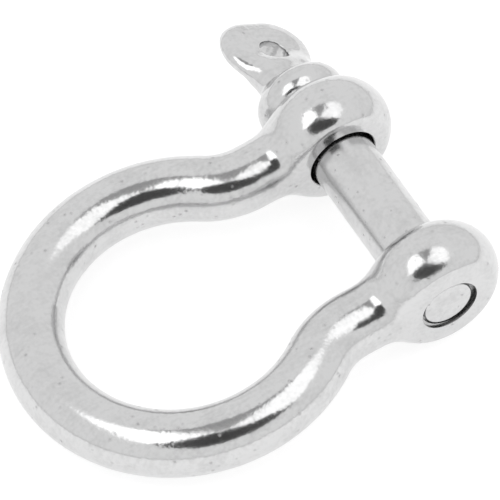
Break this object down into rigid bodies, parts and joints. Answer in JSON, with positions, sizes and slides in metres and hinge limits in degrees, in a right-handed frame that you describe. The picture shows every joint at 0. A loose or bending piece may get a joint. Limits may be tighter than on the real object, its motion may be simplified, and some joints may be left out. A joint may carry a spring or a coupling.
{
  "type": "bow shackle",
  "caption": "Round-bowed stainless shackle with faced ears, closed by a screw pin with a round collar and a pierced thumb tab.",
  "frame": {"origin": "on the pin's axis, midway between the ears", "axes": "+X to the crown of the bow, +Y along the pin towards its threaded end, +Z square to the plane of the bow"},
  "size_m": [0.0714, 0.0679, 0.0206],
  "materials": {
    "polished_steel": "polished stainless, with faint pits and ripples from forging"
  },
  "bodies": {
    "bow": {"bow": "polished_steel"},
    "pin_point": {"pin_tip": "polished_steel"},
    "screw_pin": {"screw_pin": "polished_steel"}
  },
  "joints": [
    {"name": "pin_withdraw", "type": "slide", "parent": "bow", "child": "pin_point", "axis": [0, -1, 0], "range_m": [0, 0.042]},
    {"name": "pin_turn", "type": "hinge", "parent": "pin_point", "child": "screw_pin", "pos_m": [0, 0, 0], "axis": [0, -1, 0], "range_deg": [0, 10084]}
  ],
  "couplings": [
    {"joint": "pin_turn", "follows": "pin_withdraw", "rad_per_m": 4188.8}
  ]
}
